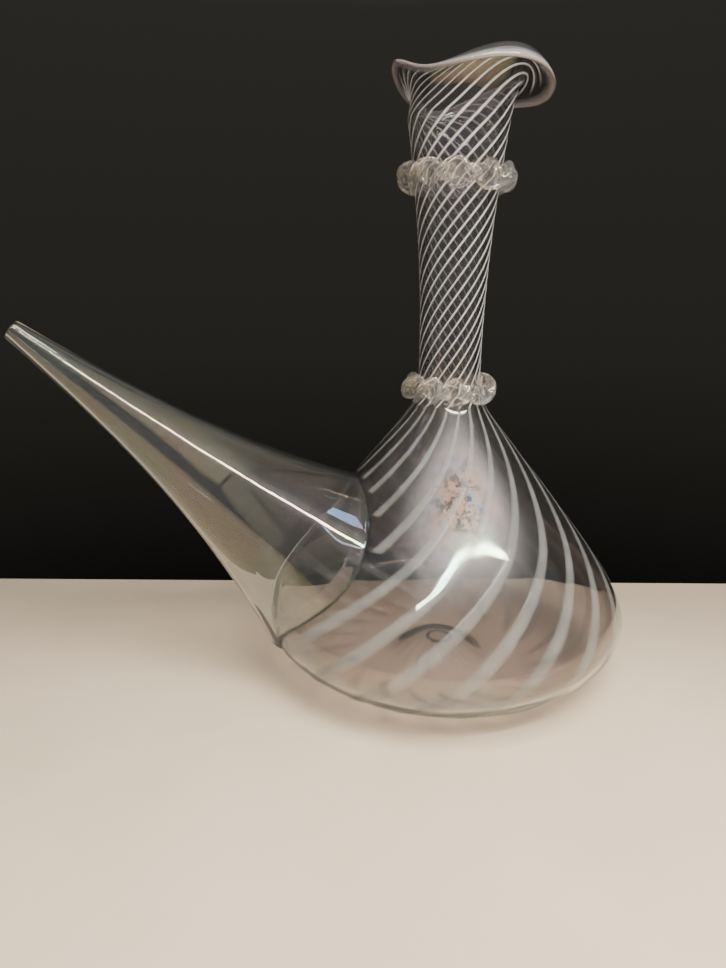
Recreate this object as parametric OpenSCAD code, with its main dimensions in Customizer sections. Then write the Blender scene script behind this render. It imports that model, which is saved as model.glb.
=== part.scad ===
// Spouted glass pitcher: one blown bubble with twisted white canes, a cone spout fused
// to its side, and two twisted trails round the neck. Millimetres. The origin is the
// middle of the standing ring, +Z is up the neck and the spout points to -X.

/* [Body] */
// Widest radius of the body
body_r = 87; // [82:0.5:92]
// Height of the widest ring above the table
belly_z = 30; // [28:0.5:32]
// Outer radius of the flat standing ring
foot_r = 34; // [32:0.5:36]
// Height where the shoulder meets the neck
shoulder_z = 131; // [128:1:134]
// Radius of the shoulder where it meets the neck
shoulder_r = 15.5; // [15:0.1:16]
// Share of the shoulder's height that bends before it runs straight
shoulder_bend = 0.13; // [0.10:0.01:0.18]
// Wall of the blown glass, measured level
wall = 1.9; // [1.6:0.1:2.2]
// Thickness of the glass in the base
base_wall = 3; // [2.5:0.1:3.5]

/* [Kick] */
// Inner radius of the flat standing ring, where the kick starts
kick_r = 27; // [26:0.5:28]
// Radius of the flat top of the kick
kick_top_r = 8; // [7.5:0.5:9]
// Height of the kick under the base
kick_h = 9; // [7:0.5:10]

/* [Neck] */
// Narrowest outer radius of the neck
neck_r = 14; // [13.5:0.1:14.5]
// How much the neck widens towards its top
neck_flare = 7.7; // [7:0.1:8.4]
// Height where the neck turns into the lip
neck_top_z = 252; // [250:1:254]

/* [Lip] */
// Mean outer radius of the ruffled edge
lip_r = 32.8; // [32:0.2:34]
// How far the edge is pulled out on its widest side
lip_pull = 4; // [3:0.5:5]
// How far the edge is squeezed to an oval
lip_oval = 2.3; // [1.5:0.1:3]
// Mean height of the edge
lip_z = 264.8; // [264:0.2:266]
// How much higher the edge is above the spout than on the far side, each way
lip_tilt = 4.2; // [3.5:0.1:4.6]
// Height of the ruffles in the edge
lip_ruffle = 2.6; // [2:0.1:3]
// How far the lip rises above its edge before it curls down, on average
lip_curl = 6.8; // [6:0.2:8]
// How much more it curls on its widest side
lip_curl_swing = 13; // [11:0.5:14]
// Thickness of the lip
lip_wall = 1.8; // [1.6:0.1:2.2]

/* [Spout] */
// Height of the spout's mouth above the table
spout_tip_z = 166; // [163:1:169]
// Distance of the spout's mouth from the body's axis
spout_tip_x = 189.5; // [188:0.5:191]
// Angle of the spout above level
spout_angle = 39.7; // [39:0.1:40.5]
// Outer radius of the spout at its mouth
spout_tip_r = 4.4; // [4.2:0.1:5]
// Length of the spout along its axis, from its mouth to the rounding of its root
spout_len = 174; // [172:1:176]
// How fast the radius of the spout grows from its mouth
spout_taper = 0.117; // [0.11:0.001:0.125]
// Extra radius of the spout at its root, where it opens like a trumpet
spout_flare = 23.4; // [22:0.2:25]
// How late and how sharply the trumpet opens
spout_flare_power = 2.6; // [2.4:0.1:2.8]
// Wall of the spout
spout_wall = 1.8; // [1.6:0.1:2]
// Radius of the hole in the body wall behind the spout
spout_hole_r = 38; // [34:1:40]
// Radius of the hole in the spout's mouth
mouth_r = 2.6; // [2.4:0.1:2.8]

/* [Collars] */
// Height of the middle of the lower collar
lower_collar_z = 138.5; // [138:0.5:141]
// Height of the middle of the upper collar
upper_collar_z = 229; // [226:0.5:232]
// Number of lobes round each collar
collar_lobes = 10; // [8:2:12]
// How flat the lower collar is pressed against the neck
lower_squash = 0.62; // [0.5:0.01:0.7]
// How flat the upper collar is pressed against the neck
upper_squash = 0.55; // [0.5:0.01:0.7]

/* [Canes] */
// Number of white canes round the glass
cane_count = 20; // [16:1:22]
// Angle that one cane covers round the neck
cane_angle = 5.2; // [4:0.2:6]
// Further angle that a cane covers where the body is widest
cane_spread = 2; // [0:0.5:3]
// How far a cane stands out of the glass
cane_h = 0.35; // [0.3:0.05:0.4]
// Turn of the canes for each millimetre along the body, in degrees
body_turn = 0.62; // [0.4:0.02:0.8]
// Further turn of the canes for each millimetre of the belly and low shoulder, in degrees
belly_turn = 0.11; // [0:0.01:0.2]
// Turn of the canes for each millimetre up the neck, in degrees
neck_turn = 2.7; // [2:0.1:3]
// Turn of the canes over the whole lip, in degrees
lip_turn = 120; // [90:5:130]

/* [Hidden] */
glass = [0.83, 0.81, 0.85, 0.45];
clear_glass = [0.9, 0.9, 0.92, 0.45];
cane_white = [0.9, 0.9, 0.93];

round_fn = 96;
belly_steps = 15;
shoulder_steps = 16;
bend_spacing = 1.5;      // packs the shoulder's points closer together where it bends
neck_steps = 24;
kick_steps = 6;
join_t = 36;             // angle along the belly's curve where the base ends and the belly starts
shoulder_fillet = 1.5;   // extra radius of the neck where it rises out of the shoulder
fillet_fade = 3;         // height over which that extra radius dies away
flare_start_z = 150;     // height where the neck starts to widen

pontil_in_r = 4;         // the pontil mark is a broken ring of glass under the kick
pontil_out_r = 7.2;
pontil_h = 1.6;

lip_steps = 8;
lip_sides = 60;
lip_start = 3;           // how far the lip runs on straight up out of the neck
lip_reach = 12;          // how far inside its edge the lip is at its crest
pull_side = -33;         // direction in which the edge is pulled out, counted from +X
curl_side = -30;         // direction in which the lip curls down most
oval_side = 117;         // direction in which the oval is longest
high_side = 204;         // direction in which the edge is highest
ruffles = [[2, 0.65, 160], [3, 1, 49]];   // waves round the edge, share of lip_ruffle, angle of a crest

spout_steps = 8;
cone_end = 88;           // distance from the mouth where the spout's cone ends and its waist starts
bell_start = 120;        // distance from the mouth where the waist ends and the bell starts
root_r = 12;             // rounding of the bell, where it tucks under to the body
root_step = 30;          // angle between the points of that rounding
tip_len = 5;             // length of the fire-polished mouth
tip_round = 1.5;         // rounding of the mouth's edge

collar_sides = 80;
collar_points = 10;
ribbon_half_h = 6.9;     // half the length of the twisted ribbon's section
ribbon_half_w = 3.4;     // half the thickness of the twisted ribbon's section
lower_phase = 20;        // how far the lower ribbon is already turned over at +X
upper_phase = 65;        // how far the upper ribbon is already turned over at +X

cane_phase = 14;         // angle of the first cane where it starts on the belly, counted from +X
cane_start_r = 43;       // the canes stop short of the standing ring, so that they never touch the table
low_len = 110;           // length of the body's outline over which the canes turn faster
kick_cane_in_r = 9.5;    // the canes in the kick run between these two radii
kick_cane_out_r = 24;
kick_cane_steps = 5;
lip_cane_share = 0.92;   // the canes stop short of the lip's edge
lip_cane_steps = 14;
lip_turn_power = 1.5;    // the canes turn more and more as they near the edge
lip_gap = 0.1;           // keeps the lip's canes off its facets

// ---- outlines, as [radius, height] points ----

// Quarter ellipse from the standing ring up to the widest ring, inset by the wall
function belly_point(t, inset = 0, floor_z = 0) =
    [foot_r + (body_r - inset - foot_r) * sin(t),
     floor_z + (belly_z - floor_z) * (1 - cos(t))];

// Share of the way from the belly to the neck: bends first, then straight
function shoulder_share(s) =
    (s - shoulder_bend * (1 - exp(-s / shoulder_bend)))
    / (1 - shoulder_bend * (1 - exp(-1 / shoulder_bend)));

function shoulder_point(s, inset = 0) =
    [body_r - inset - (body_r - shoulder_r) * shoulder_share(s),
     belly_z + (shoulder_z - belly_z) * s];

function neck_radius(z) =
    neck_r + shoulder_fillet * exp(-(z - shoulder_z) / fillet_fade)
    + neck_flare * pow(max(0, z - flare_start_z) / (neck_top_z - flare_start_z), 2);

function neck_z(i) = shoulder_z + (neck_top_z - shoulder_z) * i / neck_steps;

function belly_arc(from, to, inset = 0, floor_z = 0) =
    [for (t = [from : 90 / belly_steps : to + 0.01]) belly_point(t, inset, floor_z)];

function shoulder_arc(inset = 0) =
    [for (i = [1 : shoulder_steps]) shoulder_point(pow(i / shoulder_steps, bend_spacing), inset)];

function kick_z(r) =
    r < kick_top_r ? kick_h
    : kick_h * (1 + cos(180 * (r - kick_top_r) / (kick_r - kick_top_r))) / 2;

kick_radii = [for (i = [0 : kick_steps]) kick_top_r + (kick_r - kick_top_r) * i / kick_steps];

function backwards(list) = [for (i = [len(list) - 1 : -1 : 0]) list[i]];

module spun(points) rotate_extrude($fn = round_fn) polygon(points);

// ---- the blown bubble ----

module base() {
    underside = concat([[0, kick_h]], [for (r = kick_radii) [r, kick_z(r)]], belly_arc(0, join_t));
    top = concat([[0, kick_h + base_wall]],
                 [for (r = kick_radii) [r, kick_z(r) + base_wall]],
                 belly_arc(0, join_t, wall, base_wall));
    color(glass) spun(concat(underside, backwards(top)));
}

module body_solid() {
    spun(concat([[0, 0]], belly_arc(0, 90), shoulder_arc(), [[0, shoulder_z]]));
}

// A part of the bubble between two outlines, with the round opening behind the spout
module opened_wall(outside, inside) {
    color(glass) difference() {
        spun(concat(outside, backwards(inside)));
        on_spout_axis() cylinder(r = spout_hole_r, h = spout_len + root_r, $fn = round_fn);
    }
}

module belly() opened_wall(belly_arc(join_t, 90), belly_arc(join_t, 90, wall, base_wall));

module shoulder() {
    outside = concat([belly_point(90)], shoulder_arc());
    inside = concat([belly_point(90, wall, base_wall)], shoulder_arc(wall));
    opened_wall(outside, inside);
}

module neck() {
    levels = [for (i = [0 : neck_steps]) neck_z(i)];
    outside = [for (z = levels) [neck_radius(z), z]];
    inside = [for (z = levels) [neck_radius(z) - wall, z]];
    color(glass) spun(concat(outside, backwards(inside)));
}

// Radius and height of the ruffled edge, and how far the glass rises above it, at one angle
function edge_r(a) =
    lip_r + lip_pull * cos(a - pull_side) + lip_oval * cos(2 * (a - oval_side));
function ruffle_z(a, ruffle) = lip_ruffle * ruffle[1] * cos(ruffle[0] * (a - ruffle[2]));
function edge_z(a) =
    lip_z + lip_tilt * cos(a - high_side) + ruffle_z(a, ruffles[0]) + ruffle_z(a, ruffles[1]);
function edge_curl(a) = lip_curl + lip_curl_swing * cos(a - curl_side);

function cubic(p, t) =
    pow(1 - t, 3) * p[0] + 3 * pow(1 - t, 2) * t * p[1] + 3 * (1 - t) * t * t * p[2] + pow(t, 3) * p[3];
function cubic_slope(p, t) =
    3 * pow(1 - t, 2) * (p[1] - p[0]) + 6 * (1 - t) * t * (p[2] - p[1]) + 3 * t * t * (p[3] - p[2]);

// The lip's outline at one angle is a cubic curve from the neck to the edge
function lip_curve(a) =
    let (r0 = neck_radius(neck_top_z))
    [[r0, neck_top_z],
     [r0, neck_top_z + lip_start],
     [edge_r(a) - lip_reach, edge_z(a) + edge_curl(a)],
     [edge_r(a), edge_z(a)]];

// A point at share t of the way along the lip, moved off its outside by depth
function lip_point(a, t, depth) =
    let (p = lip_curve(a),
         d = cubic_slope(p, t),
         inwards = [-d[1], d[0]] / norm(d),
         q = cubic(p, t) + inwards * depth)
    [q[0] * cos(a), q[0] * sin(a), q[1]];

// A closed ring made of many equal sections, each a loop of points. They follow each other
// clockwise as seen from above
module ring_of(sections) {
    count = len(sections);
    size = len(sections[0]);
    points = [for (section = sections) each section];
    faces = [for (i = [0 : count - 1], j = [0 : size - 1])
        let (k = (i + 1) % count, m = (j + 1) % size)
        each [[i * size + j, k * size + j, k * size + m], [i * size + j, k * size + m, i * size + m]]];
    polyhedron(points, faces, convexity = 10);
}

module lip() {
    shares = [for (i = [0 : lip_steps]) i / lip_steps];
    angles = [for (i = [0 : lip_sides - 1]) -360 * i / lip_sides];
    color(glass) ring_of([for (a = angles) concat(
        [for (t = shares) lip_point(a, t, 0)],
        [for (t = backwards(shares)) lip_point(a, t, lip_wall)])]);
}

module pontil_mark() {
    middle_r = (pontil_in_r + pontil_out_r) / 2;
    color(clear_glass) spun([
        [pontil_in_r, kick_h],
        [pontil_in_r, kick_h - pontil_h / 2],
        [middle_r, kick_h - pontil_h],
        [pontil_out_r, kick_h - pontil_h / 3],
        [pontil_out_r, kick_h]]);
}

// ---- the spout ----

// Puts +Z along the spout, from its mouth at the origin towards the body
module on_spout_axis() {
    translate([-spout_tip_x, 0, spout_tip_z]) rotate([0, 90 + spout_angle, 0]) children();
}

function spout_radius(s) =
    spout_tip_r + spout_taper * s + spout_flare * pow(s / spout_len, spout_flare_power);

function spout_side(from, to, inset = 0) =
    [for (i = [0 : spout_steps])
        let (s = from + (to - from) * i / spout_steps)
        [spout_radius(s) - inset, s]];

// The bell's end is rounded, so that it tucks under to meet the body
function spout_root(inset = 0) =
    [for (t = [root_step : root_step : 90])
        [spout_radius(spout_len) - inset - (root_r - inset) * (1 - cos(t)),
         spout_len + (root_r - inset) * sin(t)]];

function bell_side(inset = 0) = concat(spout_side(bell_start, spout_len, inset), spout_root(inset));

// A stretch of the spout between two distances from its mouth
module spout_stretch(from, to) {
    outside = spout_side(from, to);
    inside = spout_side(from, to, spout_wall);
    color(clear_glass) on_spout_axis() spun(concat(outside, backwards(inside)));
}

module spout_cone() spout_stretch(tip_len, cone_end);

module spout_waist() spout_stretch(cone_end, bell_start);

module spout_bell() {
    color(clear_glass) difference() {
        on_spout_axis() spun(concat(bell_side(), backwards(bell_side(spout_wall))));
        body_solid();
    }
}

// The space that the bell takes up, as one solid
module bell_solid() {
    ends = [[0, spout_len + root_r], [0, bell_start]];
    on_spout_axis() spun(concat(bell_side(), ends));
}

module spout_tip() {
    end_r = spout_radius(tip_len);
    edge = [for (t = [0 : 30 : 90]) [end_r - tip_round * (1 - sin(t)), tip_round * (1 - cos(t))]];
    color(clear_glass) on_spout_axis() difference() {
        spun(concat([[0, 0]], edge, [[end_r, tip_len], [0, tip_len]]));
        translate([0, 0, -1]) cylinder(r = mouth_r, h = tip_len + 2, $fn = round_fn);
    }
}

// ---- the twisted trails round the neck ----

// One section of the ribbon at angle a. It turns over as it goes round, squash flattens it
// towards the neck, and its inner side follows the neck
function ribbon_section(a, middle_z, squash, phase) =
    let (turn = a * collar_lobes / 2 + phase,
         reach = squash * norm([ribbon_half_h * cos(turn), ribbon_half_w * sin(turn)]))
    [for (j = [0 : collar_points - 1])
        let (b = 360 * j / collar_points,
             u = ribbon_half_h * cos(b),
             v = ribbon_half_w * sin(b),
             out = squash * (u * cos(turn) - v * sin(turn)),
             z = middle_z + u * sin(turn) + v * cos(turn),
             r = neck_radius(z) + cane_h + reach + out)
        [r * cos(a), r * sin(a), z]];

module collar(middle_z, squash, phase) {
    angles = [for (i = [0 : collar_sides - 1]) -360 * i / collar_sides];
    color(clear_glass) ring_of([for (a = angles) ribbon_section(a, middle_z, squash, phase)]);
}

module lower_collar() collar(lower_collar_z, lower_squash, lower_phase);
module upper_collar() collar(upper_collar_z, upper_squash, upper_phase);

// ---- the white canes ----

// A strip along the glass. Each station holds its four corners: two on the glass, then two outside
module strip(stations) {
    last = 4 * (len(stations) - 1);
    sides = [for (a = [0 : 4 : last - 4])
        each [[a, a + 5, a + 4], [a, a + 1, a + 5],
              [a + 1, a + 7, a + 5], [a + 1, a + 3, a + 7],
              [a + 3, a + 6, a + 7], [a + 3, a + 2, a + 6],
              [a + 2, a + 4, a + 6], [a + 2, a, a + 4]]];
    first_end = [[0, 3, 1], [0, 2, 3]];
    last_end = [[last, last + 3, last + 2], [last, last + 1, last + 3]];
    polyhedron([for (s = stations) each s], concat(sides, first_end, last_end), convexity = 10);
}

// Distance along an outline from its first point to point i
function along(outline, i) = i == 0 ? 0 : along(outline, i - 1) + norm(outline[i] - outline[i - 1]);

// Outward tilt of an outline at point i, as an angle above level
function tilt(outline, i) =
    let (d = outline[min(i + 1, len(outline) - 1)] - outline[max(i - 1, 0)])
    atan2(-d[0], d[1]);

// Half the angle that a cane covers at a radius: it was drawn out wider with the body
function cane_half_angle(r) = (cane_angle + cane_spread * (r - neck_r) / (body_r - neck_r)) / 2;

// The stations of a cane that climbs a spun outline and turns round the axis as it goes. It turns
// faster by low_turn over the first low_len, and starts further back to make room for that.
function spun_stations(outline, start_angle, turn, low_turn) =
    [for (i = [0 : len(outline) - 1])
        let (length = along(outline, i),
             middle = start_angle + turn * length - low_turn * max(0, low_len - length),
             t = tilt(outline, i),
             half = cane_half_angle(outline[i][0]))
        [for (lift = [0, cane_h], side = [-1, 1])
            let (r = outline[i][0] / cos(half) + lift * cos(t),
                 a = middle + side * half)
            [r * cos(a), r * sin(a), outline[i][1] + lift * sin(t)]]];

// The stations of a cane that runs out over the ruffled lip
function lip_stations(start_angle) =
    [for (i = [0 : lip_cane_steps])
        let (t = lip_cane_share * i / lip_cane_steps,
             middle = start_angle + lip_turn * pow(t, lip_turn_power))
        [for (lift = [0, cane_h], side = [-1, 1])
            lip_point(middle + side * cane_angle / 2, t, -lip_gap - lift)]];

kick_outline = [for (i = [0 : kick_cane_steps])
    let (r = kick_cane_in_r + (kick_cane_out_r - kick_cane_in_r) * i / kick_cane_steps)
    [r, kick_z(r)]];
body_outline = concat([for (p = belly_arc(0, 90)) if (p[0] > cane_start_r) p], shoulder_arc());
neck_outline = [for (i = [0 : neck_steps]) [neck_radius(neck_z(i)), neck_z(i)]];

// Angle of the first cane in the kick, where the shoulder meets the neck, and at the lip
kick_angle = cane_phase - body_turn * (cane_start_r - kick_cane_in_r) - belly_turn * low_len;
neck_angle = cane_phase + body_turn * along(body_outline, len(body_outline) - 1);
lip_angle = neck_angle + neck_turn * along(neck_outline, neck_steps);

// The angle of every cane, counted from the first one
cane_turns = [for (i = [0 : cane_count - 1]) 360 * i / cane_count];

// One cane for each of cane_turns, along a spun outline
module canes(outline, first_angle, turn, low_turn = 0) {
    for (a = cane_turns) strip(spun_stations(outline, first_angle + a, turn, low_turn));
}

module kick_canes() color(cane_white) canes(kick_outline, kick_angle, body_turn);

// The canes end where the spout is fused over the body
module body_canes() {
    color(cane_white) difference() {
        canes(body_outline, cane_phase, body_turn, belly_turn);
        bell_solid();
    }
}

module neck_canes() color(cane_white) canes(neck_outline, neck_angle, neck_turn);

module lip_canes() {
    color(cane_white) for (a = cane_turns) strip(lip_stations(lip_angle + a));
}

// ---- what is drawn ----

base();
belly();
shoulder();
neck();
lip();
pontil_mark();
spout_bell();
spout_waist();
spout_cone();
spout_tip();
lower_collar();
upper_collar();
kick_canes();
body_canes();
neck_canes();
lip_canes();
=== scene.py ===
"""The looks of the spouted glass pitcher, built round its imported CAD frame.

Metres, +Z up the neck, the spout points to -X, and the origin is the middle of the standing ring.
The glass is made here as smooth sheets with true walls, because light bends in them.
"""

import math

import bpy
import numpy as np
from mathutils import Matrix, Vector, noise


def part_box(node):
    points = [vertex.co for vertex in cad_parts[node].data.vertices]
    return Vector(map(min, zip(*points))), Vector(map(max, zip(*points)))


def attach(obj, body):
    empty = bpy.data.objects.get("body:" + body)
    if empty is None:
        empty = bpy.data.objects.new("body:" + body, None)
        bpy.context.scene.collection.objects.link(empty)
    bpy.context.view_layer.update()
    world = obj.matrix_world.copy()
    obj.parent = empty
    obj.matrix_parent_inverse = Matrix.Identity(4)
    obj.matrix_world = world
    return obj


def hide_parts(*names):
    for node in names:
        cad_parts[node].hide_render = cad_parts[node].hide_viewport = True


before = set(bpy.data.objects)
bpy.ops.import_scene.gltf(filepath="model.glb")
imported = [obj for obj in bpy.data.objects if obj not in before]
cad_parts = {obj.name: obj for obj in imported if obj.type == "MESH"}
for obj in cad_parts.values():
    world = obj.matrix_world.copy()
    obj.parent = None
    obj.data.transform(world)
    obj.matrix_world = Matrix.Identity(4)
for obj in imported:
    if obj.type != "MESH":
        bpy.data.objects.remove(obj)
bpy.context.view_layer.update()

MM = 0.001


def highest(node_name, axis):
    """The CAD node's far side along an axis (0 is X, 2 is Z), in millimetres."""
    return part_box(node_name)[1][axis] / MM


# ---- the pitcher's outlines, in millimetres ----
# The main sizes are read from the imported frame, and the others are the CAD's.
# THROAT_BLEND, BLEND_FROM_Z, CANE_GAP and CANE_FADE are for the looks alone, and CANE_H is lower
# than in the CAD to leave room for the gap.
BODY_R = highest("belly", 0)
BELLY_Z = highest("belly", 2)
FOOT_R = 34.0
SHOULDER_Z = highest("shoulder", 2)
SHOULDER_R = 15.5
SHOULDER_BEND = 0.13
WALL = 1.9
BASE_WALL = 3.0
KICK_R = 27.0
KICK_TOP_R = 8.0
KICK_H = 9.0
NECK_R = 14.0
NECK_FLARE = 7.7
NECK_TOP_Z = highest("neck", 2)
FLARE_START_Z = 150.0
FILLET = 1.5
FILLET_FADE = 3.0
THROAT_BLEND = 2.5       # rounds the corner between the shoulder and the neck
BLEND_FROM_Z = 90.0      # under this height that corner is too far off to matter

LIP_R = 32.8
LIP_PULL = 4.0
LIP_OVAL = 2.3
LIP_Z = 264.8
LIP_TILT = 4.2
LIP_RUFFLE = 2.6
LIP_CURL = 6.8
LIP_CURL_SWING = 13.0
LIP_START = 3.0
LIP_REACH = 12.0
PULL_SIDE = -33.0
CURL_SIDE = -30.0
OVAL_SIDE = 117.0
HIGH_SIDE = 204.0
RUFFLES = ((2, 0.65, 160.0), (3, 1.0, 49.0))

SPOUT_TIP_X = 189.5
SPOUT_TIP_Z = 166.0
SPOUT_ANGLE = 39.7
SPOUT_TIP_R = 4.4
SPOUT_LEN = 174.0
SPOUT_TAPER = 0.117
SPOUT_FLARE = 23.4
SPOUT_FLARE_POWER = 2.6
SPOUT_WALL = 1.8
SPOUT_HOLE_R = 38.0
ROOT_R = 12.0
MOUTH_R = 2.6
TIP_ROUND = 1.5

LOWER_COLLAR_Z = 138.5
UPPER_COLLAR_Z = 229.0
COLLAR_LOBES = 10
RIBBON_HALF_H = 6.9
RIBBON_HALF_W = 3.4
LOWER_SQUASH = 0.62
UPPER_SQUASH = 0.55
LOWER_PHASE = 20.0
UPPER_PHASE = 65.0

PONTIL_IN_R = 4.0
PONTIL_OUT_R = 7.2
PONTIL_H = 1.6

CANE_COUNT = 20
CANE_ANGLE = 5.2
CANE_SPREAD = 2.0
CANE_H = 0.3
CANE_GAP = 0.03          # keeps a cane's underside off the glass
CANE_FADE = 5            # a cane's free end fades out over this many sections
BODY_TURN = 0.62         # turn of the canes for each millimetre, in degrees
BELLY_TURN = 0.11        # further turn over the first LOW_LEN of the body's outline
LOW_LEN = 110.0
NECK_TURN = 2.7
LIP_TURN = 120.0         # turn over the whole lip
LIP_TURN_POWER = 1.5
LIP_CANE_SHARE = 0.92
CANE_PHASE = 14.0
CANE_START_R = 43.0
KICK_CANE_IN_R = 9.5
KICK_CANE_OUT_R = 24.0


def cos_d(degrees):
    """Cosine of an angle in degrees."""
    return np.cos(np.radians(degrees))


def sin_d(degrees):
    """Sine of an angle in degrees."""
    return np.sin(np.radians(degrees))


def smooth_max(a, b, blend):
    """The larger of two numbers, rounded where they cross."""
    return blend * np.logaddexp(a / blend, b / blend)


# ---- outlines ----

def flared_radius(z):
    """Outer radius of the neck at a height, without the rounding at its foot."""
    flare = np.maximum(0.0, z - FLARE_START_Z) / (NECK_TOP_Z - FLARE_START_Z)
    return NECK_R + NECK_FLARE * flare ** 2


def neck_radius(z):
    """Outer radius of the neck at a height, with the CAD's rounding, where the trails lie on it."""
    return flared_radius(z) + FILLET * np.exp(-(z - SHOULDER_Z) / FILLET_FADE)


def shoulder_share(s):
    """Share of the way in from the belly to the neck: bends first, then straight."""
    b = SHOULDER_BEND
    return (s - b * (1 - np.exp(-s / b))) / (1 - b * (1 - math.exp(-1 / b)))


def wall_radius(z):
    """Outer radius of the bubble at a height, from the standing ring to the top of the neck."""
    z = np.asarray(z, float)
    low = np.clip((BELLY_Z - z) / BELLY_Z, 0, 1)
    belly = FOOT_R + (BODY_R - FOOT_R) * np.sqrt(np.maximum(0, 1 - low ** 2))
    s = (z - BELLY_Z) / (SHOULDER_Z - BELLY_Z)
    cone = BODY_R - (BODY_R - SHOULDER_R) * shoulder_share(np.maximum(s, 0))
    upper = np.where(z > BLEND_FROM_Z, smooth_max(cone, flared_radius(z), THROAT_BLEND), cone)
    return np.where(z < BELLY_Z, belly, upper)


def kick_height(r):
    """Height of the hollow under the base at a radius."""
    swing = np.clip((r - KICK_TOP_R) / (KICK_R - KICK_TOP_R), 0, 1)
    return KICK_H * (1 + np.cos(math.pi * swing)) / 2


def lip_curve(a):
    """The four points, as radius and height, of the cubic that is the lip's outline at angle a."""
    edge_r = LIP_R + LIP_PULL * cos_d(a - PULL_SIDE) + LIP_OVAL * cos_d(2 * (a - OVAL_SIDE))
    edge_z = LIP_Z + LIP_TILT * cos_d(a - HIGH_SIDE)
    for waves, share, crest in RUFFLES:
        edge_z = edge_z + LIP_RUFFLE * share * cos_d(waves * (a - crest))
    curl = LIP_CURL + LIP_CURL_SWING * cos_d(a - CURL_SIDE)
    start_r = NECK_R + NECK_FLARE
    lean = 2 * NECK_FLARE / (NECK_TOP_Z - FLARE_START_Z)
    return ((start_r, NECK_TOP_Z),
            (start_r + lean * LIP_START, NECK_TOP_Z + LIP_START),
            (edge_r - LIP_REACH, edge_z + curl),
            (edge_r, edge_z))


def lip_outline(a, t):
    """Radius and height of the lip at angle a, share t of the way out to its edge."""
    weights = ((1 - t) ** 3, 3 * (1 - t) ** 2 * t, 3 * (1 - t) * t ** 2, t ** 3)
    points = lip_curve(a)
    r = sum(w * p[0] for w, p in zip(weights, points))
    z = sum(w * p[1] for w, p in zip(weights, points))
    return r, z


# The outline runs from the middle of the kick (0) over five stretches, one unit each
KICK, BELLY, SHOULDER, NECK, LIP = range(5)
RING_SHARE = 0.25        # share of the first stretch that is the flat standing ring
SHOULDER_SPACING = 1.3   # packs the shoulder's places closer together where it bends


def outline(u, a):
    """Radius and height of the outside at place u (0 to 5) and angle a in degrees."""
    part = min(int(u), LIP)
    t = u - part
    if part == KICK:
        if t < 1 - RING_SHARE:
            r = KICK_R * t / (1 - RING_SHARE)
            return np.full_like(a, r), np.full_like(a, kick_height(r))
        r = KICK_R + (FOOT_R - KICK_R) * (t - 1 + RING_SHARE) / RING_SHARE
        return np.full_like(a, r), np.zeros_like(a)
    if part == BELLY:
        r = FOOT_R + (BODY_R - FOOT_R) * math.sin(math.pi / 2 * t)
        return np.full_like(a, r), np.full_like(a, BELLY_Z * (1 - math.cos(math.pi / 2 * t)))
    if part == SHOULDER:
        z = BELLY_Z + (SHOULDER_Z - BELLY_Z) * t ** SHOULDER_SPACING
        return np.full_like(a, wall_radius(z)), np.full_like(a, z)
    if part == NECK:
        z = SHOULDER_Z + (NECK_TOP_Z - SHOULDER_Z) * t
        return np.full_like(a, wall_radius(z)), np.full_like(a, z)
    return lip_outline(a, t)


def wobble(x, y, z, size, seed):
    """Slow unevenness of hand-blown glass, from 0 to 1, at a place in millimetres."""
    return np.array([0.5 + 0.5 * noise.noise(Vector((p[0] / size + seed, p[1] / size, p[2] / size)))
                     for p in zip(x, y, z)])


OUTER_WOBBLE = 0.25      # how far the outside dips, at most
OUTER_WAVE = 30.0        # size of the dips
SMOOTH_UNTIL = BELLY + 0.2   # the outline has no dips up to this place, so that it stands well
SOLE_LIFT = 0.3          # rise of the standing ring to each side of the circle that touches the table
SOLE_R = (KICK_R + FOOT_R) / 2
SOLE_TOP_Z = 9.0         # that rise has died away at this height


def sole_lift(r, z):
    """Rounds the flat standing ring, so that the glass touches the table on one circle."""
    away = np.abs(r - SOLE_R) / (FOOT_R - SOLE_R)
    return SOLE_LIFT * np.minimum(1, away ** 2) * np.clip(1 - z / SOLE_TOP_Z, 0, 1)


def skin(u, a):
    """Points on the outside of the bubble, in millimetres, at place u and angles a."""
    r, z = outline(u, a)
    if u < SHOULDER:
        z = z + sole_lift(r, z)
    if u > SMOOTH_UNTIL:
        r = r - OUTER_WOBBLE * wobble(r * cos_d(a), r * sin_d(a), z, OUTER_WAVE, 3.0)
    return np.stack([r * cos_d(a), r * sin_d(a), z], -1)


# ---- meshes ----

def new_object(name, verts, faces, material, smooth=True):
    """A mesh object from points in millimetres."""
    mesh = bpy.data.meshes.new(name)
    mesh.from_pydata((np.asarray(verts) * MM).tolist(), [], faces)
    mesh.validate()
    mesh.polygons.foreach_set("use_smooth", [smooth] * len(mesh.polygons))
    mesh.materials.append(material)
    mesh.update()
    obj = bpy.data.objects.new(name, mesh)
    bpy.context.scene.collection.objects.link(obj)
    return obj


def paint(obj, name, values):
    """Stores a number for each point, for the material to read."""
    layer = obj.data.attributes.new(name, "FLOAT", "POINT")
    layer.data.foreach_set("value", np.asarray(values, np.float32))


def ring_faces(first, second, count):
    """Quads between two closed rings of points that start at these indices."""
    return [(first + i, first + (i + 1) % count, second + (i + 1) % count, second + i)
            for i in range(count)]


def ring_solid(name, rings, material):
    """A closed object from rings of points: each is joined to the next, and the last to the first."""
    count, size = len(rings), len(rings[0])
    faces = []
    for k in range(count):
        faces += ring_faces((k + 1) % count * size, k * size, size)
    return new_object(name, np.concatenate(rings), faces, material)


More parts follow.
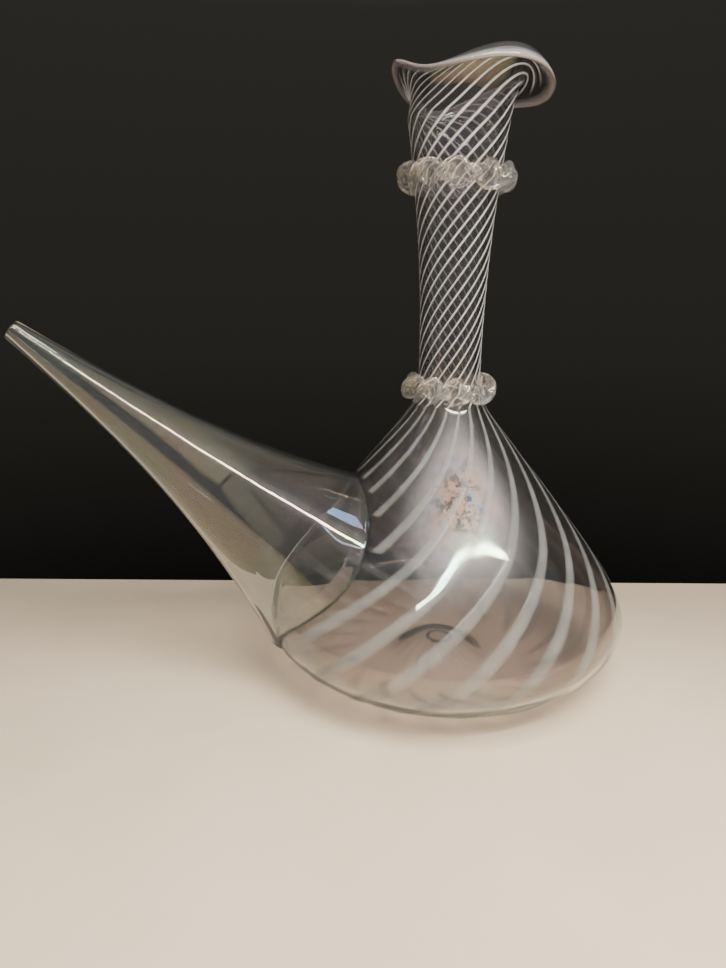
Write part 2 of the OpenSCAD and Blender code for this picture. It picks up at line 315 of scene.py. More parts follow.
def vertex_normals(verts, faces):
    """Area-weighted normals of a mesh's points."""
    normals = np.zeros_like(verts)
    for size in (3, 4):
        some = np.array([f for f in faces if len(f) == size])
        if not len(some):
            continue
        p = verts[some]
        if size == 4:
            n = np.cross(p[:, 2] - p[:, 0], p[:, 3] - p[:, 1])
        else:
            n = np.cross(p[:, 1] - p[:, 0], p[:, 2] - p[:, 0])
        for k in range(size):
            np.add.at(normals, some[:, k], n)
    return normals / np.linalg.norm(normals, axis=1)[:, None]


def open_edges(faces):
    """The open edges of a mesh, as (from, to) pairs in the faces' own direction."""
    edges = {}
    for face in faces:
        for i, v in enumerate(face):
            edge = (v, face[(i + 1) % len(face)])
            edges[edge] = edges.get(edge, 0) + 1
    return [e for e in edges if (e[1], e[0]) not in edges]


def finish_piece(obj, slot, *nodes):
    """The piece stands for these CAD nodes, which are hidden, and hangs from the root body. The slot is not
    used.
    """
    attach(obj, "root")
    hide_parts(*nodes)
    return obj


# ---- the spout's axis ----
AXIS_START = np.array([-SPOUT_TIP_X, 0.0, SPOUT_TIP_Z])
AXIS_DIR = np.array([cos_d(SPOUT_ANGLE), 0.0, -sin_d(SPOUT_ANGLE)])
AXIS_UP = np.array([sin_d(SPOUT_ANGLE), 0.0, cos_d(SPOUT_ANGLE)])
AXIS_SIDE = np.array([0.0, 1.0, 0.0])


def spout_radius(s):
    """Outer radius of the spout at distance s from its mouth."""
    return SPOUT_TIP_R + SPOUT_TAPER * s + SPOUT_FLARE * (s / SPOUT_LEN) ** SPOUT_FLARE_POWER


def from_axis(points):
    """Distance along the spout's axis, and the vector out from it."""
    rel = points - AXIS_START
    s = rel @ AXIS_DIR
    return s, rel - np.outer(s, AXIS_DIR)


# ---- the blown bubble ----
SIDES = 240
STATIONS = np.concatenate([
    np.linspace(0.02, BELLY, 24, endpoint=False), np.linspace(BELLY, SHOULDER, 26, endpoint=False),
    np.linspace(SHOULDER, NECK, 60, endpoint=False), np.linspace(NECK, LIP, 60, endpoint=False),
    np.linspace(LIP, LIP + 1, 34)])
EDGE_STEPS = 6           # steps round the fire-polished edge of a sheet
WALL_UNEVEN = 0.4        # how much the wall's thickness varies
WALL_WAVE = 22.0         # over about this distance
HOLE_WALL = 0.3          # share of the wall's thickness that is left at the hole
HOLE_END = SPOUT_LEN + 2 * ROOT_R    # past this distance from the mouth the axis is inside the body
HOLE_FADE = 6.0          # the wall thins out over this distance towards the hole
ROUNDING_PASSES = 8      # settles the hole's edge on both the hole's circle and the body
BLOOM_SIDE = -97.0       # the side of the body with the dried stain and its painted sheen, towards the photographer
BLOOM_Z = 95.0
BLOOM_HALF_ANGLE = 21.0
BLOOM_HALF_HEIGHT = 21.0
BLOOM_FALL = 1.3         # how sharply the stain ends there
RIM_GLOW_START = 4.95         # outline place from which the lip takes a painted pinkish glow, up to its edge


def cut_spout_hole(verts, faces):
    """Leaves out the faces behind the spout, and draws the points round the hole to its round edge."""
    s, out = from_axis(verts)
    inside = (np.linalg.norm(out, axis=1) < SPOUT_HOLE_R) & (s < HOLE_END)
    kept = [f for f in faces if not all(inside[v] for v in f)]
    dropped = [f for f in faces if all(inside[v] for v in f)]
    rim = sorted({v for f in dropped for v in f} & {v for f in kept for v in f})
    p = verts[rim]
    for _ in range(ROUNDING_PASSES):
        s, out = from_axis(p)
        out *= (SPOUT_HOLE_R / np.linalg.norm(out, axis=1))[:, None]
        p = AXIS_START + np.outer(s, AXIS_DIR) + out
        r = wall_radius(p[:, 2]) - OUTER_WOBBLE / 2
        a = np.arctan2(p[:, 1], p[:, 0])
        p = np.stack([r * np.cos(a), r * np.sin(a), p[:, 2]], -1)
    verts[rim] = p
    return kept


def close_sheet(verts, faces, thickness):
    """A solid from an open sheet: a second skin inside it, with rounded edges. Returns points and faces."""
    normals = vertex_normals(verts, faces)
    count = len(verts)
    inner = verts - normals * thickness[:, None]
    points = [*verts, *inner]
    solid = list(faces) + [tuple(v + count for v in reversed(f)) for f in faces]
    edges = open_edges(faces)
    outward = {}
    for a, b in edges:
        along = verts[b] - verts[a]
        away = np.cross(along, normals[a])
        for v in (a, b):
            outward[v] = outward.get(v, 0) + away / np.linalg.norm(away)
    rows = {}
    for v, away in outward.items():
        away = away / np.linalg.norm(away)
        middle, half = (verts[v] + inner[v]) / 2, thickness[v] / 2
        rows[v] = [v]
        for k in range(1, EDGE_STEPS):
            turn = math.pi * k / EDGE_STEPS
            rows[v].append(len(points))
            points.append(middle + half * (math.cos(turn) * normals[v] + math.sin(turn) * away))
        rows[v].append(v + count)
    for a, b in edges:
        for k in range(EDGE_STEPS):
            solid.append((rows[b][k], rows[a][k], rows[a][k + 1], rows[b][k + 1]))
    return np.array(points), solid


def stain_and_sheen_share(points):
    """How stained the glass is at each point, and how much painted rainbow sheen it has: a patch on the
    front of the shoulder.
    """
    a = np.degrees(np.arctan2(points[:, 1], points[:, 0])) - BLOOM_SIDE
    a = (a + 180) % 360 - 180
    away = (a / BLOOM_HALF_ANGLE) ** 2 + ((points[:, 2] - BLOOM_Z) / BLOOM_HALF_HEIGHT) ** 2
    return np.exp(-away ** BLOOM_FALL)


def bubble(material):
    """Base, belly, shoulder, neck and lip: one blown piece with a hole behind the spout."""
    angles = 360.0 * np.arange(SIDES) / SIDES
    rings = [skin(u, angles) for u in STATIONS]
    verts = np.concatenate([[[0.0, 0.0, KICK_H]], *rings])
    faces = [(0, 1 + (i + 1) % SIDES, 1 + i) for i in range(SIDES)]
    for k in range(len(rings) - 1):
        faces += ring_faces(1 + k * SIDES, 1 + (k + 1) * SIDES, SIDES)
    faces = cut_spout_hole(verts, faces)
    used = sorted({v for f in faces for v in f})
    renumber = {v: i for i, v in enumerate(used)}
    verts = verts[used]
    places = np.concatenate([[0.0], np.repeat(STATIONS, SIDES)])[used]
    # painted light: the lip's edge and the sheet's rounded edges glow pinkish, in place of the light the
    # glass carries along to them
    rim = np.clip((places - RIM_GLOW_START) / (LIP + 1 - RIM_GLOW_START), 0, 1)
    faces = [tuple(renumber[v] for v in f) for f in faces]
    thickness = WALL + (BASE_WALL - WALL) * np.clip(1 - verts[:, 2] / BELLY_Z, 0, 1) ** 2
    thickness += WALL_UNEVEN * (wobble(*verts.T, WALL_WAVE, 9.0) - 0.5)
    s, out = from_axis(verts)
    near_hole = np.where(s < HOLE_END, (np.linalg.norm(out, axis=1) - SPOUT_HOLE_R) / HOLE_FADE, 1)
    thickness *= HOLE_WALL + (1 - HOLE_WALL) * np.clip(near_hole, 0, 1)
    points, solid = close_sheet(verts, faces, thickness)
    obj = new_object("blown_bubble", points, solid, material)
    paint(obj, "stain_and_sheen_share", stain_and_sheen_share(points))
    edge = np.ones(len(points) - 2 * len(rim))    # the sheet's rounded edges all take that painted glow
    paint(obj, "rim", np.concatenate([rim, rim, edge]))
    return obj


# ---- the spout ----
SPOUT_SIDES = 160
SPOUT_ROWS = 110
PROFILE_END = 2.0        # place where the rounding of the spout's root ends
SEARCH_START = 0.5       # no side meets the body nearer to the mouth than this place
SEARCH_STEPS = 300
SEARCH_HALVINGS = 20
SEAM_WALL = 0.6          # the spout's wall thins out where it is fused to the body
SEAM_FROM = 0.88         # from this share of its length
MOUTH_STEPS = 8          # steps round the fire-polished mouth


def spout_profile(v, inset):
    """Distance along the axis and radius at place v: 0 to 1 along the side, 1 to 2 round the root."""
    if v <= 1:
        s = SPOUT_LEN * v
        return s, spout_radius(s) - inset
    turn = math.pi / 2 * (v - 1)
    bend = ROOT_R - inset
    return SPOUT_LEN + bend * math.sin(turn), spout_radius(SPOUT_LEN) - inset - bend * (1 - math.cos(turn))


def round_axis(s, r, turn):
    """The point at distance s along the spout's axis, r out from it, at this turn round it."""
    return AXIS_START + s * AXIS_DIR + r * (math.cos(turn) * AXIS_UP + math.sin(turn) * AXIS_SIDE)


def spout_point(v, turn, inset):
    """The point on the spout's side at place v and this turn, moved in by inset."""
    s, r = spout_profile(v, inset)
    return round_axis(s, r, turn)


def place_at_body(turn, inset):
    """Where the spout's side at this turn meets the outside of the body."""
    def outside(v):
        p = spout_point(v, turn, inset)
        return math.hypot(p[0], p[1]) - float(wall_radius(p[2]))
    steps = np.linspace(SEARCH_START, PROFILE_END, SEARCH_STEPS + 1)
    for low, high in zip(steps, steps[1:]):
        if outside(high) < 0:
            for _ in range(SEARCH_HALVINGS):
                middle = (low + high) / 2
                low, high = (low, middle) if outside(middle) < 0 else (middle, high)
            return low
    return PROFILE_END


def spout(material):
    """Cone, bell and fire-polished mouth: one drawn piece, fused to the body."""
    turns = 2 * math.pi * np.arange(SPOUT_SIDES) / SPOUT_SIDES
    start = TIP_ROUND / SPOUT_LEN
    shares = np.arange(SPOUT_ROWS + 1) / SPOUT_ROWS
    outer_ends = [place_at_body(t, 0.0) for t in turns]
    inner_ends = [place_at_body(t, SEAM_WALL) for t in turns]
    rings = [[spout_point(start + (end - start) * share, t, 0.0) for t, end in zip(turns, outer_ends)]
             for share in shares]
    for share in reversed(shares):
        near_seam = max(0.0, (share - SEAM_FROM) / (1 - SEAM_FROM))
        wall = SPOUT_WALL + (SEAM_WALL - SPOUT_WALL) * near_seam * near_seam * (3 - 2 * near_seam)
        rings.append([spout_point(start + (end - start) * share, t, wall)
                      for t, end in zip(turns, inner_ends)])
    edge_r = spout_radius(TIP_ROUND)
    middle_r, half = (edge_r + MOUTH_R) / 2, (edge_r - MOUTH_R) / 2
    for k in range(1, MOUTH_STEPS):
        turn = math.pi * k / MOUTH_STEPS
        s, r = TIP_ROUND * (1 - math.sin(turn)), middle_r - half * math.cos(turn)
        rings.append([round_axis(s, r, t) for t in turns])
    return ring_solid("drawn_spout", rings, material)


# ---- the trails ----
TRAIL_SIDES = 400
TRAIL_POINTS = 56
TRAIL_GROOVES = 6
GROOVE_DEPTH = 0.3       # share of the ribbon's half size
TWIST_SWING = 14.0       # the twist runs ahead and behind by this angle, three times round the neck


def trail(name, middle_z, squash, phase, material):
    """A grooved ribbon of clear glass that turns over as it goes round the neck."""
    b = 360.0 * np.arange(TRAIL_POINTS) / TRAIL_POINTS
    groove = 1 - GROOVE_DEPTH * (0.5 + 0.5 * cos_d(TRAIL_GROOVES * b))
    x = RIBBON_HALF_H * cos_d(b) * groove
    y = RIBBON_HALF_W * sin_d(b) * groove
    rings = []
    for a in 360.0 * np.arange(TRAIL_SIDES) / TRAIL_SIDES:
        turn = a * COLLAR_LOBES / 2 + phase + TWIST_SWING * sin_d(3 * a + 40)
        reach = squash * np.hypot(RIBBON_HALF_H * cos_d(turn), RIBBON_HALF_W * sin_d(turn))
        out = squash * (x * cos_d(turn) - y * sin_d(turn))
        z = middle_z + x * sin_d(turn) + y * cos_d(turn)
        r = neck_radius(z) + CANE_H + reach + out
        rings.append(np.stack([r * cos_d(a), r * sin_d(a), z], -1))
    return ring_solid(name, rings, material)


# ---- the canes ----
ACROSS = np.array([-1.0, -0.8, -0.45, 0.0, 0.45, 0.8, 1.0])    # places from one edge to the other
SLOPE_ANGLE = 0.2        # the skin's slope is measured over this angle
SLOPE_PLACE = 0.01       # and over this much of the outline


def clear_of_spout(points):
    """Whether each point of the skin lies outside the space that the spout takes up."""
    s, out = from_axis(points)
    past = np.clip((s - SPOUT_LEN) / ROOT_R, 0, 1)
    reach = spout_radius(np.clip(s, 0, SPOUT_LEN)) - ROOT_R * (1 - np.sqrt(1 - past ** 2))
    return (s > SPOUT_LEN + ROOT_R) | (np.linalg.norm(out, axis=1) > reach)


def cane_section(u, middle):
    """Points across a cane at place u: over its domed top and back under it."""
    r = outline(u, np.array([middle]))[0][0]
    width = CANE_ANGLE + CANE_SPREAD * (r - NECK_R) / (BODY_R - NECK_R)
    a = middle + ACROSS * width / 2
    p = skin(u, a)
    n = np.cross(skin(u, a + SLOPE_ANGLE) - p, p - skin(max(u - SLOPE_PLACE, 0.0), a))
    n /= np.linalg.norm(n, axis=1)[:, None]
    top = p + n * (CANE_GAP + CANE_H * np.sqrt(1 - ACROSS ** 2))[:, None]
    under = (p + n * CANE_GAP)[1:-1][::-1]
    return np.concatenate([top, under])


def cane_set(name, places, angles, material, free_ends):
    """Milky canes along the skin, at these outline places and angles.

    Free ends fade out: 1 is the first end and -1 the last.
    """
    size = 2 * len(ACROSS) - 2
    corners = np.arange(size)
    milk_across = np.concatenate([1 - np.abs(ACROSS) ** 3, np.zeros(len(ACROSS) - 2)])
    fade = np.ones(len(places))
    for end in free_ends:
        fade[::end][:CANE_FADE] *= np.linspace(0, 1, CANE_FADE)
    verts, faces, milk = [], [], []
    for c in range(CANE_COUNT):
        last = None
        for k, u in enumerate(places):
            section = cane_section(u, angles[k] + 360.0 * c / CANE_COUNT)
            if not clear_of_spout(section).all():
                if last is not None:
                    faces.append((last + corners).tolist())
                last = None
                continue
            here = len(verts)
            verts += [*section]
            milk += [*(milk_across * fade[k])]
            if last is None:
                faces.append((here + corners[::-1]).tolist())
            else:
                faces += ring_faces(last, here, size)
            last = here
        if last is not None:
            faces.append((last + corners).tolist())
    obj = new_object(name, verts, faces, material)
    paint(obj, "milk", milk)
    return obj


def length_along(places):
    """Length of the outline, in millimetres, from the first of these places to each of them."""
    points = [np.array(outline(u, np.zeros(1))).ravel() for u in places]
    steps = [np.linalg.norm(q - p) for p, q in zip(points, points[1:])]
    return np.concatenate([[0.0], np.cumsum(steps)])


# ---- the pontil scar ----
SCAR_SIDES = 90
SCAR_POINTS = 14
SCAR_WIDTH = 0.9         # share of the CAD ring's width
SCAR_GAP = 0.02          # keeps the ring off the kick's own surface


def pontil_scar(material):
    """The rough ring that broke off the iron, under the kick."""
    turns = 2 * math.pi * np.arange(SCAR_POINTS) / SCAR_POINTS
    middle_r, half = (PONTIL_IN_R + PONTIL_OUT_R) / 2, SCAR_WIDTH * (PONTIL_OUT_R - PONTIL_IN_R) / 2
    rings = []
    for a in 360.0 * np.arange(SCAR_SIDES) / SCAR_SIDES:
        rough = 0.75 + 0.5 * noise.noise(Vector((3 * cos_d(a), 3 * sin_d(a), 0.0)))
        r = middle_r + half * rough * np.cos(turns)
        z = KICK_H - SCAR_GAP - PONTIL_H * rough * 0.5 * (1 + np.sin(turns))
        rings.append(np.stack([r * cos_d(a), r * sin_d(a), z], -1))
    return ring_solid("pontil_scar", rings, material)


# ---- materials ----
GLASS_IOR = 1.48
GLASS_ROUGHNESS = 0.004
COAT_ROUGHNESS = 0.22    # a soft bloom lies round the sharp highlights
FILM_IOR = 1.62          # a weathered skin on the glass gives its highlights faint rainbow edges
FILM_NM = (210.0, 340.0)
# The stain's rainbow colours are a painted sheen, in place of the iridescence of a thin film; its dark crust
# is its own.
STAIN_AND_SHEEN_STOPS = ((0.35, (0.10, 0.16, 0.28)), (0.44, (0.26, 0.23, 0.26)), (0.52, (0.38, 0.19, 0.09)),
               (0.6, (0.30, 0.19, 0.14)), (0.7, (0.15, 0.14, 0.24)))
CRUST_COLOUR = (0.12, 0.08, 0.07)
# The pinkish colour on the glass's edges is painted light, in place of the light that the sheet carries to
# them.
RIM_GLOW_COLOUR = (0.5, 0.42, 0.41)
LAMP_TINT_FACE = (0.86, 0.85, 0.84)    # tint of lamp light through glass that faces it
LAMP_TINT_EDGE = (0.22, 0.21, 0.2)     # and through glass seen edge on


def grey(level):
    """A neutral colour."""
    return (level,) * 3


def new_material(name):
    """An empty node material, as the material and its tree."""
    m = bpy.data.materials.new(name)
    m.use_nodes = True
    m.node_tree.nodes.clear()
    return m, m.node_tree


def node(tree, kind, **settings):
    """A shader node with these settings."""
    n = tree.nodes.new(kind)
    for key, value in settings.items():
        setattr(n, key, value)
    return n


def to_output(tree, shader, kind="ShaderNodeOutputMaterial"):
    """Makes this shader the surface of the material or world."""
    tree.links.new(shader, node(tree, kind).inputs["Surface"])


def noise_node(tree, scale, detail=2.0, roughness=0.5):
    """Noise by place on the object, at this many cycles a metre."""
    place = tree.nodes.get("place") or node(tree, "ShaderNodeTexCoord", name="place")
    n = node(tree, "ShaderNodeTexNoise")
    n.inputs["Scale"].default_value = scale
    n.inputs["Detail"].default_value = detail
    n.inputs["Roughness"].default_value = roughness
    tree.links.new(place.outputs["Object"], n.inputs["Vector"])
    return n.outputs["Fac"]


def ramp(tree, source, *stops):
    """Colours along a number, from (position, colour) pairs."""
    r = node(tree, "ShaderNodeValToRGB")
    for i, (position, colour) in enumerate(stops):
        stop = r.color_ramp.elements[i] if i < 2 else r.color_ramp.elements.new(position)
        stop.position = position
        stop.color = (*colour, 1.0)
    tree.links.new(source, r.inputs["Fac"])
    return r.outputs["Color"]


def stretched(tree, source, start, end, low=0.0, high=1.0):
    """A number, carried from the range start to end over to the range low to high."""
    n = node(tree, "ShaderNodeMapRange")
    for key, value in (("From Min", start), ("From Max", end), ("To Min", low), ("To Max", high)):
        n.inputs[key].default_value = value
    tree.links.new(source, n.inputs["Value"])
    return n.outputs["Result"]


def math_node(tree, operation, first, second):
    """One sum on two numbers or sockets."""
    n = node(tree, "ShaderNodeMath", operation=operation)
    for socket, value in zip(n.inputs, (first, second)):
        if isinstance(value, float):
            socket.default_value = value
        else:
            tree.links.new(value, socket)
    return n.outputs["Value"]


def painted(tree, name, strength):
    """The number stored for each point under this name, times strength."""
    stored = node(tree, "ShaderNodeAttribute", attribute_name=name)
    return math_node(tree, "MULTIPLY", stored.outputs["Fac"], strength)


def mixed(tree, factor, first, second):
    """Two colours or colour sockets, mixed."""
    n = node(tree, "ShaderNodeMix", data_type="RGBA")
    tree.links.new(factor, n.inputs["Factor"])
    for socket, value in ((n.inputs["A"], first), (n.inputs["B"], second)):
        if isinstance(value, tuple):
            socket.default_value = (*value, 1.0)
        else:
            tree.links.new(value, socket)
    return n.outputs["Result"]


def multiplied(tree, first, second):
    """Two colour sockets, multiplied."""
    n = node(tree, "ShaderNodeMix", data_type="RGBA", blend_type="MULTIPLY")
    n.inputs["Factor"].default_value = 1.0
    tree.links.new(first, n.inputs["A"])
    tree.links.new(second, n.inputs["B"])
    return n.outputs["Result"]


def lamps_pass(tree, shader):
    """Lets lamps shine through glass with a tint, darker where the glass is seen edge on."""
    path = node(tree, "ShaderNodeLightPath")
    facing = node(tree, "ShaderNodeLayerWeight")
    facing.inputs["Blend"].default_value = 0.35
    clear = node(tree, "ShaderNodeBsdfTransparent")
    tint = ramp(tree, facing.outputs["Facing"], (0.0, LAMP_TINT_FACE), (1.0, LAMP_TINT_EDGE))
    tree.links.new(tint, clear.inputs["Color"])
    mix = node(tree, "ShaderNodeMixShader")
    tree.links.new(path.outputs["Is Shadow Ray"], mix.inputs["Fac"])
    tree.links.new(shader.outputs["BSDF"], mix.inputs[1])
    tree.links.new(clear.outputs["BSDF"], mix.inputs[2])
    return mix.outputs["Shader"]


def clouding(tree, haze):
    """Share of the light that the glass scatters: smears of haze, with flecks of dust in them."""
    smears = ramp(tree, noise_node(tree, 50.0, 5.0, 0.65), (0.4, grey(haze * 0.5)), (0.75, grey(haze * 1.8)))
    flecks = ramp(tree, noise_node(tree, 700.0, 6.0, 0.8), (0.45, grey(0.4)), (0.62, grey(3.0)))
    return math_node(tree, "MULTIPLY", smears, flecks)


def stain_and_sheen_colour(tree):
    """Colour of the dried stain: rainbow tints that are a painted sheen in place of thin-film iridescence,
    with dark specks of crust.
    """
    patches = ramp(tree, noise_node(tree, 75.0, 6.0, 0.7), *STAIN_AND_SHEEN_STOPS)
    specks = ramp(tree, noise_node(tree, 260.0, 6.0, 0.75), (0.5, grey(1.0)), (0.54, CRUST_COLOUR))
    return multiplied(tree, patches, specks)


def add_relief(tree, shader):
    """Slow, very shallow waves in the glass."""
    relief = node(tree, "ShaderNodeBump")
    relief.inputs["Strength"].default_value = 0.02
    relief.inputs["Distance"].default_value = 0.01
    tree.links.new(noise_node(tree, 45.0, 1.0), relief.inputs["Height"])
    tree.links.new(relief.outputs["Normal"], shader.inputs["Normal"])


def glass(name, colour, haze=0.004, coat=0.15, with_stain_sheen_and_glow=False):
    """Blown glass: clear, with a slight haze. The body also has a dried stain with a painted rainbow sheen,
    and a painted pinkish glow on its edges.
    """
    m, tree = new_material(name)
    g = node(tree, "ShaderNodeBsdfPrincipled")
    g.inputs["IOR"].default_value = GLASS_IOR
    g.inputs["Roughness"].default_value = GLASS_ROUGHNESS
    g.inputs["Coat Weight"].default_value = coat
    g.inputs["Coat Roughness"].default_value = COAT_ROUGHNESS
    g.inputs["Thin Film IOR"].default_value = FILM_IOR
    film = stretched(tree, noise_node(tree, 14.0, 3.0), 0.3, 0.7, *FILM_NM)
    tree.links.new(film, g.inputs["Thin Film Thickness"])
    lighter = tuple(min(1.0, c * 1.03) for c in colour)
    surface = ramp(tree, noise_node(tree, 18.0), (0.3, colour), (0.7, lighter))
    scattered = clouding(tree, haze)
    if with_stain_sheen_and_glow:
        # the stain's colours, with a painted rainbow sheen in place of iridescence
        surface = mixed(tree, painted(tree, "stain_and_sheen_share", 1.0), surface, stain_and_sheen_colour(tree))
        # painted light: a pinkish glow mixed into the colour along the edges
        surface = mixed(tree, painted(tree, "rim", 0.7), surface, RIM_GLOW_COLOUR)
        # the stain's crust scatters light, and so does the painted rim glow
        crust_and_rim_glow = math_node(tree, "ADD", painted(tree, "stain_and_sheen_share", 0.5), painted(tree, "rim", 0.3))
        scattered = math_node(tree, "ADD", scattered, crust_and_rim_glow)
        roughness = math_node(tree, "ADD", painted(tree, "stain_and_sheen_share", 0.12), GLASS_ROUGHNESS)
        tree.links.new(roughness, g.inputs["Roughness"])
    tree.links.new(surface, g.inputs["Base Color"])
    tree.links.new(math_node(tree, "SUBTRACT", 1.0, scattered), g.inputs["Transmission Weight"])
    add_relief(tree, g)
    to_output(tree, lamps_pass(tree, g))
    return m


def milk_glass(name, least, most, dark, light):
    """White cane: milky in its middle, clear at its edges, uneven along its length."""
    m, tree = new_material(name)
    g = node(tree, "ShaderNodeBsdfPrincipled")
    g.inputs["Roughness"].default_value = 0.15
    g.inputs["IOR"].default_value = GLASS_IOR
    tint = ramp(tree, noise_node(tree, 70.0, 3.0), (0.3, dark), (0.7, light))
    tree.links.new(tint, g.inputs["Base Color"])
    depth = stretched(tree, noise_node(tree, 90.0, 4.0, 0.6), 0.3, 0.7, least, most)
    tree.links.new(math_node(tree, "MULTIPLY", painted(tree, "milk", 1.0), depth), g.inputs["Alpha"])
    to_output(tree, g.outputs["BSDF"])
    return m


# ---- camera ----
# The photographer stands a little to the left of straight in front, and looks down on the belly.
# Places in this block and for the table and lamps are set square to that view, then turned by it.
VIEW_TURN = math.radians(-9.94)
CAMERA_PLACE = Vector((-0.03985, -0.34003, 0.18637))
CAMERA_PITCH = math.radians(-15.67)
CAMERA_ROLL = 0.007
CAMERA_LENS = 27.04
SENSOR = 36.0
TURN = Matrix.Rotation(VIEW_TURN, 4, "Z")


def add_camera():
    """The photographer's camera, aimed level in the frame, then pitched and rolled."""
    data = bpy.data.cameras.new("camera")
    data.lens = CAMERA_LENS
    data.sensor_width = SENSOR
    data.clip_start = 0.01
    camera = bpy.data.objects.new("camera", data)
    bpy.context.scene.collection.objects.link(camera)
    level = Matrix.Rotation(math.radians(90) + CAMERA_PITCH, 4, "X")
    roll = Matrix.Rotation(CAMERA_ROLL, 4, "Z")
    camera.matrix_world = TURN @ Matrix.Translation(CAMERA_PLACE) @ level @ roll
    bpy.context.scene.camera = camera


# ---- table, lamps and surroundings ----
TABLE_BACK = 0.095
TABLE_FRONT = -1.1
TABLE_HALF_WIDTH = 1.2
TABLE_THICK = 0.04
TABLE_EDGE = 0.002
TABLE_STOPS = ((0.35, (0.70, 0.56, 0.405)), (0.65, (0.75, 0.605, 0.445)))
SHADE_START = -0.16      # from here to its back edge the table's colour is darkened: painted shade for the light falling off towards the back
SHADE_STOPS = ((0.0, 0.95), (0.45, 0.84), (0.69, 0.66), (0.9, 0.53))


def add_table():
    """A pale slab whose far edge lies just behind the pitcher. Its colour is darkened towards that edge, a
    painted shade.
    """
    m, tree = new_material("table_top")
    g = node(tree, "ShaderNodeBsdfPrincipled")
    g.inputs["Roughness"].default_value = 0.55
    tint = ramp(tree, noise_node(tree, 14.0, 5.0, 0.6), *TABLE_STOPS)
    split = node(tree, "ShaderNodeSeparateXYZ")
    tree.links.new(tree.nodes["place"].outputs["Object"], split.inputs["Vector"])
    # painted shade: the colour darkens towards the back edge, where the lamps' light falls off
    depth = stretched(tree, split.outputs["Y"], SHADE_START, TABLE_BACK)
    shade = ramp(tree, depth, *((position, grey(level)) for position, level in SHADE_STOPS))
    tree.links.new(multiplied(tree, tint, shade), g.inputs["Base Color"])
    to_output(tree, g.outputs["BSDF"])
    w, b = TABLE_HALF_WIDTH / MM, TABLE_EDGE / MM
    front, back, thick = TABLE_FRONT / MM, TABLE_BACK / MM, TABLE_THICK / MM
    rows = []
    for inset, z in ((b, -thick), (0, -thick + b), (0, -b), (b, 0.0)):
        rows += [(-w + inset, front + inset, z), (w - inset, front + inset, z),
                 (w - inset, back - inset, z), (-w + inset, back - inset, z)]
    faces = [(3, 2, 1, 0), (12, 13, 14, 15)]
    for k in range(3):
        faces += ring_faces(4 * k, 4 * k + 4, 4)
    table = new_object("table", rows, faces, m, smooth=False)
    table.matrix_world = TURN


def add_lamp(name, place, target, size, power, colour=(1.0, 0.95, 0.87), mirrored=True):
    """A soft rectangular lamp that faces its target. Where it isn't mirrored, glass doesn't show it."""
    data = bpy.data.lights.new(name, "AREA")
    data.shape = "RECTANGLE"
    data.size, data.size_y = size
    data.energy = power
    data.color = colour
    lamp = bpy.data.objects.new(name, data)
    lamp.visible_camera = lamp.visible_glossy = lamp.visible_transmission = mirrored
    bpy.context.scene.collection.objects.link(lamp)
    aim = (Vector(target) - Vector(place)).to_track_quat("-Z", "Y").to_matrix().to_4x4()
    lamp.matrix_world = TURN @ Matrix.Translation(place) @ aim


ROOM_COLOUR = (0.2, 0.215, 0.215)
BOARD_STOPS = ((0.08, (0.003, 0.0027, 0.0024)), (0.4, (0.021, 0.020, 0.017)),
               (0.8, (0.029, 0.027, 0.023)), (1.0, (0.12, 0.115, 0.11)))


def add_world():
    """A pale room on the photographer's side and dark behind the pitcher."""
    world = bpy.data.worlds.new("room")
    world.use_nodes = True
    bpy.context.scene.world = world
    tree = world.node_tree
    tree.nodes.clear()
    place = node(tree, "ShaderNodeTexCoord")
    back = node(tree, "ShaderNodeVectorMath", operation="DOT_PRODUCT")
    back.inputs[1].default_value = (-math.sin(VIEW_TURN), math.cos(VIEW_TURN), 0.0)
    tree.links.new(place.outputs["Generated"], back.inputs[0])
    split = node(tree, "ShaderNodeSeparateXYZ")
    tree.links.new(place.outputs["Generated"], split.inputs["Vector"])
    height = math_node(tree, "ADD", split.outputs["Z"], 0.5)
    board = ramp(tree, height, *BOARD_STOPS)
    room = ramp(tree, back.outputs["Value"], (0.0, grey(1.0)), (0.15, grey(0.0)))
    light = node(tree, "ShaderNodeBackground")
    tree.links.new(mixed(tree, room, board, ROOM_COLOUR), light.inputs["Color"])
    to_output(tree, light.outputs["Background"], "ShaderNodeOutputWorld")


# ---- the build ----
add_camera()
add_table()
add_world()
# The tube draws the bright arc on the body and the line along the spout. The overhead lamp throws
# the soft shadow round the belly.
add_lamp("tube", (0.24, -0.75, 1.07), (0.0, 0.0, 0.08), (1.5, 0.035), 20)
add_lamp("panel", (0.05, -0.3, 1.1), (0.0, 0.0, 0.1), (0.3, 0.2), 3.5, colour=(0.84, 0.93, 1.0))
add_lamp("overhead", (0.14, -0.3, 0.5), (0.07, -0.12, 0.0), (0.3, 0.3), 5.8, mirrored=False)

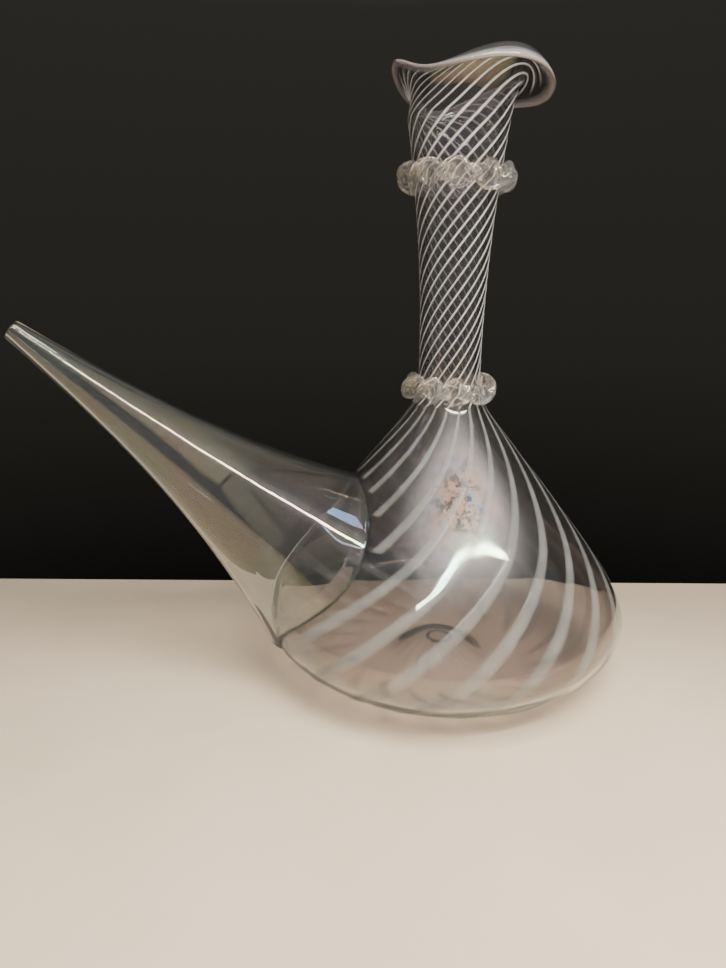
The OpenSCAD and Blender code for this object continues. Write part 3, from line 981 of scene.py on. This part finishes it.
pale_glass = glass("pale_blown_glass", (0.70, 0.67, 0.675), with_stain_sheen_and_glow=True)
clear_glass = glass("clear_drawn_glass", (0.9, 0.91, 0.905), haze=0.002, coat=0.12)
trail_glass = glass("clear_trail_glass", (0.95, 0.92, 0.9), haze=0.02, coat=0.0)
body_milk = milk_glass("milk_cane_wide", 0.26, 0.38, (0.30, 0.307, 0.286), (0.39, 0.397, 0.37))
neck_milk = milk_glass("milk_cane_narrow", 0.45, 0.65, (0.50, 0.51, 0.50), (0.64, 0.65, 0.64))

finish_piece(bubble(pale_glass), "pale_glass", "base", "belly", "shoulder", "neck", "lip")
finish_piece(spout(clear_glass), "clear_glass", "spout_bell", "spout_waist", "spout_cone",
             "spout_tip")
finish_piece(trail("lower_trail", LOWER_COLLAR_Z, LOWER_SQUASH, LOWER_PHASE, trail_glass),
             "clear_glass", "lower_collar")
finish_piece(trail("upper_trail", UPPER_COLLAR_Z, UPPER_SQUASH, UPPER_PHASE, trail_glass),
             "clear_glass", "upper_collar")

# The first cane's places on the outline and its angles there. Each stretch goes on where the last ended
start_share = math.asin((CANE_START_R - FOOT_R) / (BODY_R - FOOT_R)) / (math.pi / 2)
kick_radii = np.linspace(KICK_CANE_IN_R, KICK_CANE_OUT_R, 16)
kick_places = kick_radii / KICK_R * (1 - RING_SHARE)
body_places = np.concatenate([np.linspace(BELLY + start_share, SHOULDER, 40, endpoint=False),
                              np.linspace(SHOULDER, NECK, 110)])
neck_places = np.linspace(NECK, LIP, 110)
lip_places = LIP + LIP_CANE_SHARE * np.linspace(0, 1, 44)

body_lengths = length_along(body_places)
body_angles = CANE_PHASE + BODY_TURN * body_lengths - BELLY_TURN * np.maximum(0, LOW_LEN - body_lengths)
kick_angles = body_angles[0] - BODY_TURN * (CANE_START_R - kick_radii)
neck_angles = body_angles[-1] + NECK_TURN * length_along(neck_places)
lip_angles = neck_angles[-1] + LIP_TURN * (lip_places - LIP) ** LIP_TURN_POWER

canes = (
    ("kick_cane_threads", kick_places, kick_angles, body_milk, (1, -1), "kick_canes"),
    ("body_cane_threads", body_places, body_angles, body_milk, (1,), "body_canes"),
    ("neck_cane_threads", neck_places, neck_angles, neck_milk, (), "neck_canes"),
    ("lip_cane_threads", lip_places, lip_angles, neck_milk, (-1,), "lip_canes"))
for name, places, angles, milk, free_ends, cad_node in canes:
    finish_piece(cane_set(name, places, angles, milk, free_ends), "white_cane", cad_node)

finish_piece(pontil_scar(trail_glass), "clear_glass", "pontil_mark")
